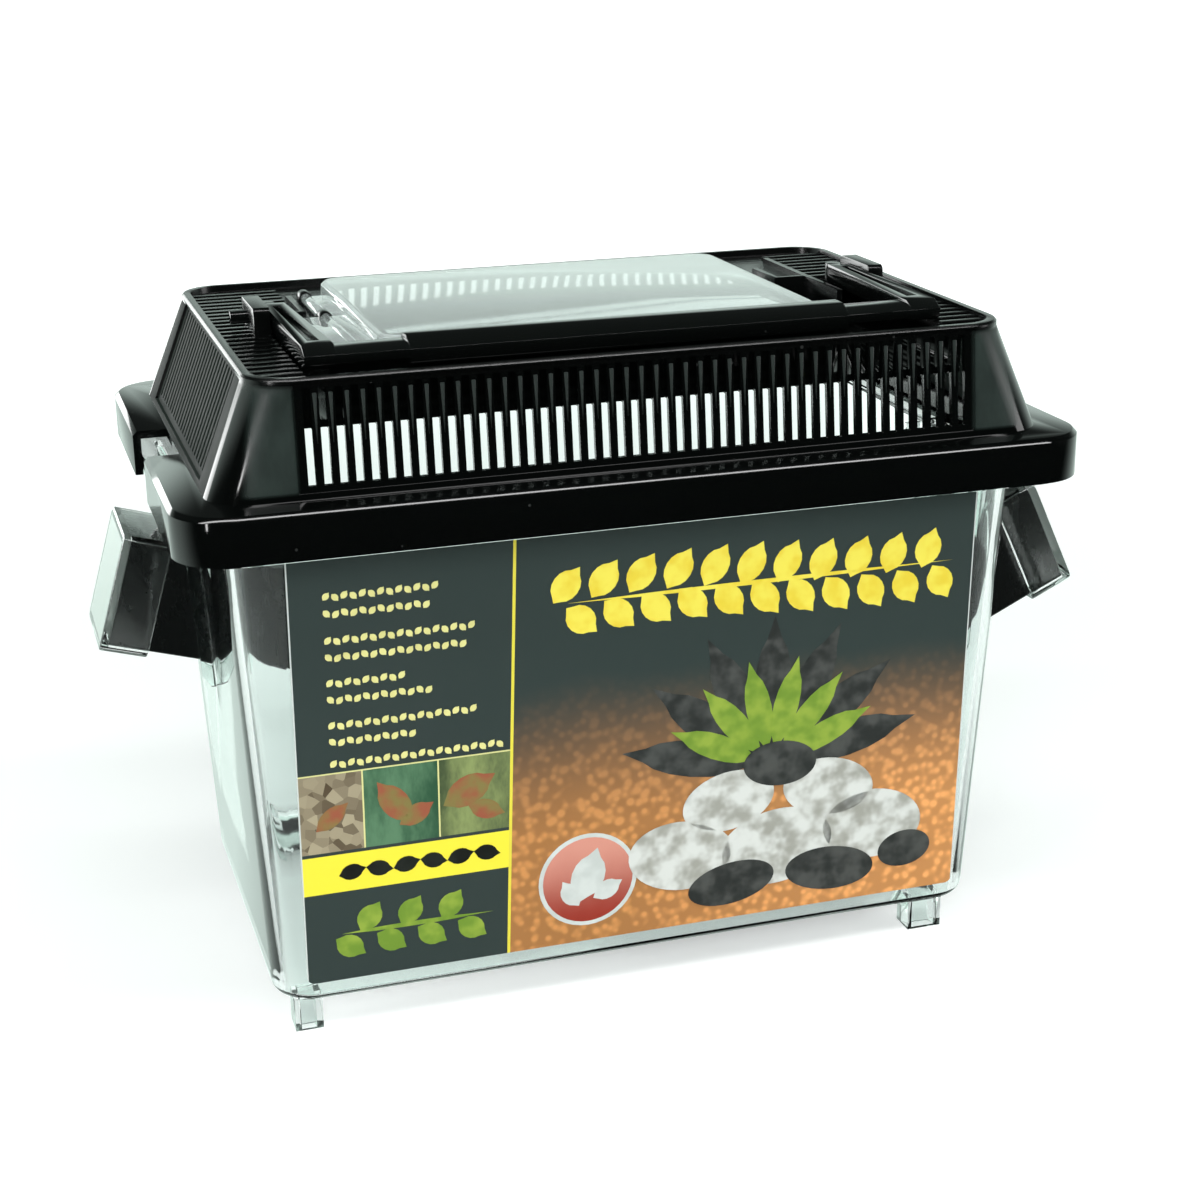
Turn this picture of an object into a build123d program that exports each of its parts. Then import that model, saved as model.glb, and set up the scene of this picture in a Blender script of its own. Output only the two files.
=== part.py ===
# A keeper box for feeder insects: a clear tapered tank on four feet, a black slotted lid with a
# sloping tower, a clear domed hatch and a folding carrying handle in the lid's deck, and two
# slanting black dispensing tubes with clear end caps that slide out through ports in the end walls.
# Millimetres. X runs along the box, -Y is the labelled front, +Z is up. The origin is on the
# ground under the middle of the tank.
from build123d import *
import math
import os

os.makedirs("parts", exist_ok=True)

# ---------------------------------------------------------------- tank
tank_base_l, tank_base_w = 151.2, 85.2  # outside, at the floor
tank_top_l, tank_top_w = 160.2, 94.2  # outside, at the flange
tank_r = 8.6  # outside corners
tank_h = 97.2  # floor's underside to the top of the flange
tank_wall = 1.6
tank_edge_r = 2.6  # rounding of the bottom edge
foot_h = 6.2
foot_len_left, foot_len_right, foot_dep = 5.6, 7.6, 5.6
foot_x_left, foot_x_right = 69.6, 64.6  # centres of the two pairs of feet
foot_inset = 1.0  # from the tank's side wall at the floor
foot_wall = 1.3
flange_t = 1.5
catch_w, catch_h, catch_t = 16.0, 6.8, 1.5  # clear tongue at each end
catch_in = 1.9  # from the flange's edge

# ---------------------------------------------------------------- lid
lid_l, lid_w, lid_r = 180.0, 115.6, 11.0
lid_wall = 1.6
skirt_h = 9.1
skirt_drop = 0.8  # skirt reaches this far below the flange's top
skirt_gap = 0.3  # between the flange's edge and the skirt
lid_edge = 0.9
tower_foot_l, tower_foot_w = 166.0, 101.5
tower_top_l, tower_top_w = 148.5, 96.8
tower_r = 8.5
tower_h = 21.8
rim_w = 1.3
rim_band_h, rim_band_out = 1.7, 0.5
deck_drop = 1.3  # deck below the rim
slot_w, slot_pitch = 1.46, 2.92
slot_count_side, slot_count_end = 45, 23
slot_foot, slot_h = 2.2, 17.6  # from the ledge to the slots, and their height
field_margin, field_drop = 1.2, 0.6  # sunk panel round the slots
notch_w, notch_y = 21.0, 0.5
ridge_w, ridge_h, ridge_pitch = 1.7, 0.6, 3.7
ridge_side_in = 3.0  # ridges stop this far inside the rim

# ---------------------------------------------------------------- handle
arm_out, arm_w_front, arm_w_back = 63.0, 6.0, 4.0  # arm's outer face from the middle, and widths
arm_gap = 0.4
pivot_y, pivot_up = 4.0, 2.6  # pivot, above the deck
arm_under, arm_over = 1.5, 2.3  # below and above the pivot
bar_y0, bar_y1 = -41.3, -34.5
bar_under, bar_over = 0.9, 1.7
grip_half, grip_out = 43.5, 0.7
grip_under, grip_over = 2.1, 2.7
nose_up = 0.8  # front edge of bar and grip, above the pivot
channel_w, channel_d = 2.2, 1.4
pin_r, pin_len, pin_gap = 1.3, 6.8, 0.05
ear_w, ear_y0, ear_y1, ear_over = 3.2, -6.5, 8.5, 3.4
stop_len, stop_w = 3.6, 3.2
trough_depth, trough_wall = 6.9, 1.4
trough_back_gap = 2.0
pit_back = 12.2  # back end of the finger pit and of the right arm's way
border_w, border_h = 1.2, 1.2  # raised borders on the deck
border_left_x, border_left_back = -53.1, 30.6
border_right_x, border_right_back = 49.6, 25.4
arm_wall_x, arm_wall_y0, arm_wall_y1 = 56.6, -5.6, 36.5  # wall between the pit and the right arm

# ---------------------------------------------------------------- hatch
hatch_x0, hatch_x1, hatch_y0, hatch_y1 = -47.0, 42.6, -31.5, 34.4
hatch_r, hatch_h, hatch_wall = 5.0, 3.7, 1.2
hatch_taper, hatch_edge = 6.0, 0.7
hatch_lift = 0.2  # dome's edge above the deck
hatch_lap = 3.0  # dome overlaps the opening by this much
hinge_x, hinge_up, hinge_r = -51.0, 1.5, 1.1
hinge_y0, hinge_y1 = -29.5, 24.0
hatch_pin_r, hatch_pin_len, hatch_pin_gap = 0.7, 2.4, 0.05
lug_w, lug_t, lug_gap = 2.8, 3.2, 0.3
lug_mid_y, lug_front_t = 3.4, 2.7
tab_x0 = -56.6  # press tab's left end; it tips down into the pit beside the left arm
tab_pit_x1 = -49.4

# ---------------------------------------------------------------- tubes and caps
tube_side, tube_wall, tube_len, tube_r = 22.4, 1.3, 133.0, 0.8
tube_off = 5.0  # nearest side of each tube from the box's middle plane
tilt_left, tilt_right = 16.5, 25.0
sill_left, sill_right = 62.4, 60.3  # height where each underside crosses the end wall
reach_left, reach_right = 21.8, 26.0  # underside beyond the wall, along the tube
block_len, block_w, block_h, block_in = 17.0, 12.0, 1.8, 17.0
cap_wall, cap_lap, cap_end, cap_gap = 1.2, 8.2, 1.6, 0.1
port_gap, port_head = 0.3, 2.5  # round the tube, and extra above it
cheek_t, cheek_out, cheek_in = 1.4, 3.0, 4.0
cheek_gap = 0.4
cheek_foot = 4.5  # below the sill

# ---------------------------------------------------------------- label and tray
label_t, label_half, label_r, label_foot = 0.35, 69.8, 1.6, 4.6
tray_l, tray_w, tray_h, tray_wall = 62.0, 28.0, 8.0, 1.4
tray_x, tray_y, tray_r = 30.0, -22.0, 3.0

# ---------------------------------------------------------------- derived heights
floor_z = foot_h
flange_z = floor_z + tank_h  # top of the flange
skirt_z = flange_z - skirt_drop
ledge_z = skirt_z + skirt_h
rim_z = ledge_z + tower_h
deck_z = rim_z - deck_drop
deck_under = deck_z - lid_wall
pivot_z = deck_z + pivot_up
slot_z = ledge_z + slot_foot
flange_l = lid_l - 2 * (lid_wall + skirt_gap)
flange_w = lid_w - 2 * (lid_wall + skirt_gap)
flange_r = lid_r - lid_wall - skirt_gap


def end_x(z):
    """Outer half length of the tank at height z."""
    k = (z - floor_z) / tank_h
    return (tank_base_l + (tank_top_l - tank_base_l) * k) / 2


def side_y(z):
    """Outer half width of the tank at height z."""
    k = (z - floor_z) / tank_h
    return (tank_base_w + (tank_top_w - tank_base_w) * k) / 2


def tower_y(z):
    """Outer half width of the lid's tower at height z."""
    return (tower_foot_w + (tower_top_w - tower_foot_w) * (z - ledge_z) / tower_h) / 2


def tower_x(z):
    """Outer half length of the lid's tower at height z."""
    return (tower_foot_l + (tower_top_l - tower_foot_l) * (z - ledge_z) / tower_h) / 2


def tube_plane(side, along=0.0, up=0.0):
    """Plane square to a tube, centred on it, measured along it from the sill (+ is outward)."""
    tilt = math.radians(tilt_left if side < 0 else tilt_right)
    sill = sill_left if side < 0 else sill_right
    c, s = math.cos(tilt), math.sin(tilt)
    rise = tube_side / 2 + port_gap + up
    x = side * (end_x(sill) + along * c) - side * s * rise
    z = sill + along * s + c * rise
    y = -side * (tube_off + tube_side / 2)
    return Plane(origin=(x, y, z), x_dir=(0, side, 0), z_dir=(side * c, 0, s))


def tapered(z0, l0, w0, z1, l1, w1, corner_r, floor_r=0.0):
    """Solid with four leaning flat sides, rounded corners and, if asked, a rounded bottom edge."""
    with BuildPart() as body:
        with BuildSketch(Plane.XZ):
            with BuildLine():
                Polyline(
                    (-l0 / 2, z0), (l0 / 2, z0), (l1 / 2, z1), (-l1 / 2, z1), close=True
                )
            make_face()
        extrude(amount=max(w0, w1), both=True)
        with BuildSketch(Plane.YZ):
            with BuildLine():
                Polyline(
                    (-w0 / 2, z0), (w0 / 2, z0), (w1 / 2, z1), (-w1 / 2, z1), close=True
                )
            make_face()
        extrude(amount=max(l0, l1), both=True, mode=Mode.INTERSECT)
        fillet(body.edges().sort_by(Axis.Z)[4:8], corner_r)
        if floor_r:
            fillet(body.edges().group_by(Axis.Z)[0], floor_r)
    return body.part


# ---------------------------------------------------------------- tank
tank_body = tapered(
    floor_z, tank_base_l, tank_base_w, flange_z, tank_top_l, tank_top_w, tank_r, tank_edge_r
)
z0 = floor_z + tank_wall
tank_hollow = tapered(
    z0, 2 * end_x(z0) - 2 * tank_wall, 2 * side_y(z0) - 2 * tank_wall,
    flange_z, tank_top_l - 2 * tank_wall, tank_top_w - 2 * tank_wall,
    tank_r - tank_wall,
)

with BuildPart() as tank:
    # tapered tub, rounded along its corners and round its floor
    add(tank_body)
    # feet: short open posts
    for x, length in ((-foot_x_left, foot_len_left), (foot_x_right, foot_len_right)):
        for sy in (-1, 1):
            y = sy * (tank_base_w / 2 - foot_inset - foot_dep / 2)
            with BuildSketch(Plane.XY):
                with Locations((x, y)):
                    Rectangle(length, foot_dep)
                    Rectangle(length - 2 * foot_wall, foot_dep - 2 * foot_wall, mode=Mode.SUBTRACT)
            extrude(amount=foot_h + tank_wall / 2)
    # flange round the mouth, which carries the lid
    with BuildSketch(Plane.XY.offset(flange_z - flange_t)):
        RectangleRounded(flange_l, flange_w, flange_r)
    extrude(amount=flange_t)
    add(tank_hollow, mode=Mode.SUBTRACT)
    # port cheeks: upright plates on both sides of each port, which guide the tube
    for side in (-1, 1):
        foot = (sill_left if side < 0 else sill_right) - cheek_foot
        x0, x1 = end_x(foot), end_x(flange_z)
        y_mid = -side * (tube_off + tube_side / 2)
        for k in (-1, 1):
            y = y_mid + k * (tube_side / 2 + cheek_gap + cheek_t / 2)
            with BuildSketch(Plane.XZ.offset(-y)):
                with BuildLine():
                    Polyline(
                        (side * (x1 + cheek_out), flange_z - flange_t / 2),
                        (side * (x1 - tank_wall - cheek_in), flange_z - flange_t / 2),
                        (side * (x0 - tank_wall - cheek_in / 2), foot + 2.2),
                        (side * (x0 - tank_wall), foot),
                        (side * (x0 + cheek_out / 4), foot),
                        (side * (x0 + cheek_out * 0.85), foot + 2.6),
                        close=True,
                    )
                make_face()
            extrude(amount=cheek_t / 2, both=True)
        # the port itself, square to the tube, tall enough for the block on the tube's back
        with BuildSketch(tube_plane(side, along=-tank_wall - 9.0)):
            with Locations((0, port_head / 2)):
                Rectangle(tube_side + 2 * port_gap, tube_side + 2 * port_gap + port_head)
        tilt = tilt_left if side < 0 else tilt_right
        lead = (tube_side + port_head) * math.tan(math.radians(tilt))
        extrude(amount=tank_wall + 15.0 + lead, mode=Mode.SUBTRACT)
    # a tongue at each end stands up through the lid's notch
    for side in (-1, 1):
        with BuildSketch(Plane.YZ.offset(side * (flange_l / 2 - catch_in - catch_t / 2))):
            with Locations((notch_y, flange_z - flange_t / 2 + (catch_h + flange_t / 2) / 2)):
                RectangleRounded(catch_w, catch_h + flange_t / 2, 0.6)
        extrude(amount=catch_t / 2, both=True)
tank.part.label = "tank"

# ---------------------------------------------------------------- lid
trough_z = deck_z - trough_depth
pocket_x1 = arm_out + arm_gap
pocket_x0 = arm_out - arm_w_front - arm_gap
bar_back = bar_y1 + trough_back_gap
bar_front = -(tower_y(deck_z) - lid_wall)
pocket_back = pivot_y + arm_over + 1.6
stop_y0 = pivot_y + arm_over + arm_gap
pit_x0 = hatch_x1 + 2.0
tab_pit_y0, tab_pit_y1 = hinge_y0 - 0.1, lug_mid_y - lug_t / 2 - 0.2


def sunk_ways(grow):
    """Boxes in plan, as (x0, x1, y0, y1), that are sunk in the deck, grown by their walls."""
    y0 = bar_front - (grow and lid_wall / 2)
    rows = [
        (-pocket_x1 - grow, pocket_x1 + grow, y0, bar_back + grow),  # bar
        (-pocket_x1 - grow, -pocket_x0 + grow, y0, pocket_back + grow),  # left arm
        (arm_wall_x + border_w - grow, pocket_x1 + grow, y0, pit_back + grow),  # right arm
        (pit_x0 - grow, arm_wall_x + grow, y0, pit_back + grow),  # finger pit
        (-pocket_x0 - 0.5, tab_pit_x1 + grow, tab_pit_y0 - grow, tab_pit_y1 + grow),  # press tab
    ]
    if not grow:
        rows.append((arm_wall_x - 0.5, arm_wall_x + border_w + 0.5, bar_front, arm_wall_y0))
    return rows


z0 = ledge_z - lid_wall
tower = tapered(
    z0, 2 * tower_x(z0), 2 * tower_y(z0), rim_z, tower_top_l, tower_top_w, tower_r
)
tower_hollow = tapered(
    z0, 2 * tower_x(z0) - 2 * lid_wall, 2 * tower_y(z0) - 2 * lid_wall,
    deck_under, 2 * tower_x(deck_under) - 2 * lid_wall, 2 * tower_y(deck_under) - 2 * lid_wall,
    tower_r - lid_wall,
)

with BuildPart() as lid:
    # skirt and ledge
    with BuildSketch(Plane.XY.offset(skirt_z)):
        RectangleRounded(lid_l, lid_w, lid_r)
    extrude(amount=skirt_h)
    chamfer(lid.edges().group_by(Axis.Z)[-1], lid_edge)
    # sloping tower
    add(tower)
    # band round the top
    with BuildSketch(Plane.XY.offset(rim_z - rim_band_h)):
        RectangleRounded(
            tower_top_l + 2 * rim_band_out, tower_top_w + 2 * rim_band_out, tower_r
        )
    extrude(amount=rim_band_h)
    chamfer(lid.edges().group_by(Axis.Z)[-1], rim_w / 3)
    # sunk panels round the slots, cut square to each sloping wall
    for sy in (-1, 1):
        z0, z1 = slot_z - field_margin, slot_z + slot_h + field_margin
        length = slot_count_side * slot_pitch + 2 * field_margin
        with BuildSketch(Plane.YZ.offset(-length / 2)):
            with BuildLine():
                Polyline(
                    (sy * (tower_y(z0) - field_drop), z0),
                    (sy * (tower_y(z0) + 2), z0),
                    (sy * (tower_y(z1) + 2), z1),
                    (sy * (tower_y(z1) - field_drop), z1),
                    close=True,
                )
            make_face()
        extrude(amount=length, mode=Mode.SUBTRACT)
    for sx in (-1, 1):
        z0, z1 = slot_z - field_margin, slot_z + slot_h + field_margin
        length = slot_count_end * slot_pitch + 2 * field_margin
        with BuildSketch(Plane.XZ.offset(-length / 2)):
            with BuildLine():
                Polyline(
                    (sx * (tower_x(z0) - field_drop), z0),
                    (sx * (tower_x(z0) + 2), z0),
                    (sx * (tower_x(z1) + 2), z1),
                    (sx * (tower_x(z1) - field_drop), z1),
                    close=True,
                )
            make_face()
        extrude(amount=length, mode=Mode.SUBTRACT)
    # space between the skirt and the ring that stands on the tank's flange
    with BuildSketch(Plane.XY.offset(skirt_z)):
        RectangleRounded(lid_l - 2 * lid_wall, lid_w - 2 * lid_wall, lid_r - lid_wall)
        RectangleRounded(tower_foot_l, tower_foot_w, tower_r, mode=Mode.SUBTRACT)
    extrude(amount=skirt_h - lid_wall, mode=Mode.SUBTRACT)
    with BuildSketch(Plane.XY.offset(skirt_z)):
        RectangleRounded(lid_l - 2 * lid_wall, lid_w - 2 * lid_wall, lid_r - lid_wall)
    extrude(amount=flange_z - skirt_z, mode=Mode.SUBTRACT)
    # hollow ring and hollow tower
    with BuildSketch(Plane.XY.offset(skirt_z)):
        RectangleRounded(
            tower_foot_l - 2 * lid_wall, tower_foot_w - 2 * lid_wall, tower_r - lid_wall
        )
    extrude(amount=skirt_h - lid_wall, mode=Mode.SUBTRACT)
    add(tower_hollow, mode=Mode.SUBTRACT)
    # deck sunk below the rim
    with BuildSketch(Plane.XY.offset(deck_z)):
        RectangleRounded(tower_top_l - 2 * rim_w, tower_top_w - 2 * rim_w, tower_r - rim_w)
    extrude(amount=rim_z - deck_z, mode=Mode.SUBTRACT)
    # walls and floor of the ways sunk for the handle, the fingers and the press tab
    with BuildSketch(Plane.XY.offset(trough_z - trough_wall)):
        for x0, x1, y0, y1 in sunk_ways(trough_wall):
            with Locations(((x0 + x1) / 2, (y0 + y1) / 2)):
                Rectangle(x1 - x0, y1 - y0)
    extrude(amount=trough_depth + trough_wall)
    # ridges across both ends of the deck
    ridge_n = int((tower_top_w - 2 * rim_w - 2 * ridge_side_in) / ridge_pitch)
    with BuildSketch(Plane.XY.offset(deck_z)):
        for sx in (-1, 1):
            x_out = tower_top_l / 2 - rim_w
            x_in = -border_left_x + border_w + 0.4 if sx < 0 else arm_wall_x + border_w + 0.4
            with Locations((sx * (x_out + x_in) / 2, 0)):
                with GridLocations(1, ridge_pitch, 1, ridge_n):
                    Rectangle(x_out - x_in, ridge_w)
    extrude(amount=ridge_h)
    # raised borders where the ridged ground ends beside the hatch
    with BuildSketch(Plane.XY.offset(deck_z)):
        for x0, x1, y0, y1 in (
            (border_left_x - border_w, border_left_x, pit_back, border_left_back),
            (-pocket_x0 - border_w, border_left_x, pit_back, pit_back + border_w),
            (border_right_x, border_right_x + border_w, pit_back, border_right_back),
            (border_right_x, arm_wall_x + border_w, pit_back, pit_back + border_w),
            (arm_wall_x, arm_wall_x + border_w, arm_wall_y0, arm_wall_y1),
        ):
            with Locations(((x0 + x1) / 2, (y0 + y1) / 2)):
                Rectangle(x1 - x0, y1 - y0)
    extrude(amount=border_h)
    # ears that hold the handle's pins, and the stops behind the arms
    for sx in (-1, 1):
        with BuildSketch(Plane.YZ.offset(sx * (pocket_x1 + ear_w / 2))):
            with Locations(((ear_y0 + ear_y1) / 2, deck_under + (pivot_z + ear_over - deck_under) / 2)):
                RectangleRounded(ear_y1 - ear_y0, pivot_z + ear_over - deck_under, 1.2)
        extrude(amount=ear_w / 2, both=True)
        with BuildSketch(Plane.XY.offset(trough_z)):
            with Locations((sx * (pocket_x1 - stop_w / 2), stop_y0 + stop_len / 2)):
                RectangleRounded(stop_w, stop_len, stop_w / 2 - 0.1)
        extrude(amount=pivot_z + arm_over - 0.6 - trough_z)
    # lugs that hold the hatch's pins
    for y, t in (
        (hinge_y0 - lug_gap - lug_front_t / 2, lug_front_t),
        (lug_mid_y, lug_t),
        (hinge_y1 + lug_gap + lug_t / 2, lug_t),
    ):
        with BuildSketch(Plane.XZ.offset(-y)):
            with Locations((hinge_x, (deck_under + deck_z + hinge_up) / 2)):
                Rectangle(lug_w, deck_z + hinge_up - deck_under)
            with Locations((hinge_x, deck_z + hinge_up)):
                Circle(lug_w / 2)
        extrude(amount=t / 2, both=True)
    # the sunk ways themselves, kept clear of the ears and stops
    with BuildSketch(Plane.XY.offset(trough_z)):
        for x0, x1, y0, y1 in sunk_ways(0):
            with Locations(((x0 + x1) / 2, (y0 + y1) / 2)):
                Rectangle(x1 - x0, y1 - y0)
        for sx in (-1, 1):
            with Locations((sx * (pocket_x1 - stop_w / 2), stop_y0 + stop_len / 2)):
                RectangleRounded(stop_w, stop_len, stop_w / 2 - 0.1, mode=Mode.SUBTRACT)
    extrude(amount=rim_z + 9 - trough_z, mode=Mode.SUBTRACT)
    # opening under the hatch
    hx, hy = (hatch_x0 + hatch_x1) / 2, (hatch_y0 + hatch_y1) / 2
    with BuildSketch(Plane.XY.offset(deck_under)):
        with Locations((hx, hy)):
            RectangleRounded(
                hatch_x1 - hatch_x0 - 2 * hatch_lap, hatch_y1 - hatch_y0 - 2 * hatch_lap,
                hatch_r - 1,
            )
    extrude(amount=lid_wall + ridge_h, mode=Mode.SUBTRACT)
    # pin holes
    for sx in (-1, 1):
        with BuildSketch(Plane.YZ.offset(sx * pocket_x1)):
            with Locations((pivot_y, pivot_z)):
                Circle(pin_r + pin_gap)
        extrude(amount=sx * (pin_len - arm_gap + 0.4), mode=Mode.SUBTRACT)
    with BuildSketch(Plane.XZ.offset(-(hinge_y1 + lug_gap + lug_t))):
        with Locations((hinge_x, deck_z + hinge_up)):
            Circle(hatch_pin_r + hatch_pin_gap)
    extrude(
        amount=hinge_y1 - hinge_y0 + 2 * lug_gap + lug_t + lug_front_t, mode=Mode.SUBTRACT
    )
    # slots through the long walls, then through the ends
    with BuildSketch(Plane.XZ.offset(tower_foot_w / 2 + 1)):
        with Locations((0, slot_z + slot_h / 2)):
            with GridLocations(slot_pitch, 1, slot_count_side, 1):
                Rectangle(slot_w, slot_h)
    extrude(amount=-(tower_foot_w / 2 + 1 + bar_front), mode=Mode.SUBTRACT)
    with BuildSketch(Plane.XZ.offset(-tower_foot_w / 2 - 1)):
        with Locations((0, slot_z + slot_h / 2)):
            with GridLocations(slot_pitch, 1, slot_count_side, 1):
                Rectangle(slot_w, slot_h)
    extrude(amount=tower_foot_w / 2 + 1 + bar_front, mode=Mode.SUBTRACT)
    for sx in (-1, 1):
        with BuildSketch(Plane.YZ.offset(sx * (tower_foot_l / 2 + 1))):
            with Locations((0, slot_z + slot_h / 2)):
                with GridLocations(slot_pitch, 1, slot_count_end, 1):
                    Rectangle(slot_w, slot_h)
        x_in = tower_x(slot_z + slot_h) - field_drop - 2 * lid_wall
        extrude(amount=-sx * (tower_foot_l / 2 + 1 - x_in), mode=Mode.SUBTRACT)
    # notches in both ends of the ledge and skirt
    for sx in (-1, 1):
        with BuildSketch(Plane.XY.offset(skirt_z)):
            with Locations((sx * (lid_l + tower_foot_l + 0.4) / 4, notch_y)):
                Rectangle((lid_l - tower_foot_l) / 2 - 0.2, notch_w)
        extrude(amount=skirt_h, mode=Mode.SUBTRACT)
lid.part.label = "lid"

# ---------------------------------------------------------------- hatch
with BuildPart() as hatch:
    hatch_z = deck_z + hatch_lift
    with BuildSketch(Plane.XY.offset(hatch_z)):
        with Locations((hx, hy)):
            RectangleRounded(hatch_x1 - hatch_x0, hatch_y1 - hatch_y0, hatch_r)
    extrude(amount=hatch_h, taper=hatch_taper)
    chamfer(hatch.edges().group_by(Axis.Z)[-1], hatch_edge)
    with BuildSketch(Plane.XY.offset(hatch_z)):
        with Locations((hx, hy)):
            RectangleRounded(
                hatch_x1 - hatch_x0 - 2 * hatch_wall, hatch_y1 - hatch_y0 - 2 * hatch_wall,
                hatch_r - hatch_wall,
            )
    extrude(amount=hatch_h - hatch_wall, taper=hatch_taper, mode=Mode.SUBTRACT)
    # on the left the press tab, a plate with the knuckle behind it, and the pin through both
    hinge_z = deck_z + hinge_up
    hinge_mid, hinge_len = (hinge_y0 + hinge_y1) / 2, hinge_y1 - hinge_y0
    plate_x1 = hatch_x0 + hatch_wall
    tab_y1 = lug_mid_y - lug_t / 2 - lug_gap
    knuckle_y0 = lug_mid_y + lug_t / 2 + lug_gap
    with BuildSketch(Plane.XY.offset(hinge_z - 0.9)):
        for x0, y0, y1 in ((tab_x0, hinge_y0, tab_y1), (hinge_x, knuckle_y0, hinge_y1)):
            with Locations(((x0 + plate_x1) / 2, (y0 + y1) / 2)):
                Rectangle(plate_x1 - x0, y1 - y0)
    extrude(amount=1.4)
    for y0, y1 in ((hinge_y0, tab_y1), (knuckle_y0, hinge_y1)):
        with BuildSketch(Plane.XZ.offset(-(y0 + y1) / 2)):
            with Locations((hinge_x, hinge_z)):
                Circle(hinge_r)
        extrude(amount=(y1 - y0) / 2, both=True)
    with BuildSketch(Plane.XZ.offset(-hinge_mid)):
        with Locations((hinge_x, hinge_z)):
            Circle(hatch_pin_r)
    extrude(amount=hinge_len / 2 + hatch_pin_len, both=True)
hatch.part.label = "hatch"

# ---------------------------------------------------------------- handle
with BuildPart() as handle:
    for sx in (-1, 1):
        # arm: side outline with a round end about the pivot
        with BuildSketch(Plane.YZ.offset(sx * (arm_out - arm_w_front / 2))):
            with BuildLine():
                Polyline(
                    (pivot_y, pivot_z + arm_over), (bar_y0 + 3, pivot_z + arm_over),
                    (bar_y0, pivot_z + nose_up), (bar_y0 + 0.4, pivot_z - bar_under),
                    (bar_y0 + 1, pivot_z - arm_under), (pivot_y, pivot_z - arm_under),
                    close=True,
                )
            make_face()
            with Locations((pivot_y, pivot_z)):
                Circle(arm_under)
            with Locations((pivot_y, pivot_z + (arm_over - arm_under) / 2)):
                Circle((arm_over + arm_under) / 2)
        extrude(amount=arm_w_front / 2, both=True)
    # both arms narrow towards their pivots on the inner side
    for sx in (-1, 1):
        xf, xb = arm_out - arm_w_front, arm_out - arm_w_back
        with BuildSketch(Plane.XY.offset(pivot_z - 8)):
            with BuildLine():
                Polyline(
                    (sx * (xf - 1), bar_y1), (sx * xf, bar_y1), (sx * xb, pivot_y + 5),
                    (sx * (xf - 1), pivot_y + 5), close=True,
                )
            make_face()
        extrude(amount=16, mode=Mode.SUBTRACT)
        # channel along the top of the arm
        with BuildSketch(Plane.XY.offset(pivot_z + arm_over - channel_d)):
            with BuildLine():
                xm_f, xm_b = arm_out - arm_w_front / 2, arm_out - arm_w_back / 2
                w = channel_w / 2
                Polyline(
                    (sx * (xm_f - w), bar_y1), (sx * (xm_f + w), bar_y1),
                    (sx * (xm_b + w * 0.6), pivot_y - 3), (sx * (xm_b - w * 0.6), pivot_y - 3),
                    close=True,
                )
            make_face()
        extrude(amount=channel_d, mode=Mode.SUBTRACT)
        # pin
        with BuildSketch(Plane.YZ.offset(sx * arm_out)):
            with Locations((pivot_y, pivot_z)):
                Circle(pin_r)
        extrude(amount=sx * pin_len)
    # bar between the arms, and the thicker grip on it
    with BuildSketch(Plane.YZ.offset(-arm_out + 1)):
        with BuildLine():
            Polyline(
                (bar_y0 + 0.4, pivot_z - bar_under), (bar_y0, pivot_z + nose_up),
                (bar_y0 + 2.6, pivot_z + bar_over), (bar_y1, pivot_z + bar_over),
                (bar_y1, pivot_z - bar_under), close=True,
            )
        make_face()
    extrude(amount=2 * arm_out - 2)
    with BuildSketch(Plane.YZ.offset(-grip_half)):
        with BuildLine():
            Polyline(
                (bar_y0, pivot_z - grip_under + 0.6),
                (bar_y0 - grip_out / 2, pivot_z + nose_up),
                (bar_y0 + 3.0, pivot_z + grip_over), (bar_y1, pivot_z + grip_over),
                (bar_y1 + grip_out, pivot_z + grip_over - 1),
                (bar_y1 + grip_out, pivot_z - grip_under + 0.8),
                (bar_y1, pivot_z - grip_under), (bar_y0 + 0.5, pivot_z - grip_under),
                close=True,
            )
        make_face()
    extrude(amount=2 * grip_half)
handle.part.label = "handle"


# ---------------------------------------------------------------- tubes and their caps
def make_tube(side, reach):
    """Square tube with a raised block on its back near the inner end."""
    with BuildPart() as tube:
        with BuildSketch(tube_plane(side, along=reach - tube_len)):
            RectangleRounded(tube_side, tube_side, tube_r)
            Rectangle(tube_side - 2 * tube_wall, tube_side - 2 * tube_wall, mode=Mode.SUBTRACT)
        extrude(amount=tube_len)
        with BuildSketch(tube_plane(side, along=reach - tube_len + block_in)):
            with Locations((0, tube_side / 2 + block_h / 2 - tube_wall / 4)):
                Rectangle(block_w, block_h + tube_wall / 2)
        extrude(amount=block_len)
    return tube


def make_cap(side, reach):
    """Clear cap pushed over the tube's outer end."""
    inner = tube_side + 2 * cap_gap
    outer = inner + 2 * cap_wall
    with BuildPart() as cap:
        with BuildSketch(tube_plane(side, along=reach - cap_lap)):
            RectangleRounded(outer, outer, tube_r + cap_wall)
        extrude(amount=cap_lap + cap_end)
        with BuildSketch(tube_plane(side, along=reach - cap_lap)):
            RectangleRounded(inner, inner, tube_r)
        extrude(amount=cap_lap, mode=Mode.SUBTRACT)
    return cap


tube_left = make_tube(-1, reach_left)
tube_left.part.label = "tube_left"
tube_right = make_tube(1, reach_right)
tube_right.part.label = "tube_right"
tube_cap_left = make_cap(-1, reach_left)
tube_cap_left.part.label = "tube_cap_left"
tube_cap_right = make_cap(1, reach_right)
tube_cap_right.part.label = "tube_cap_right"

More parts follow.
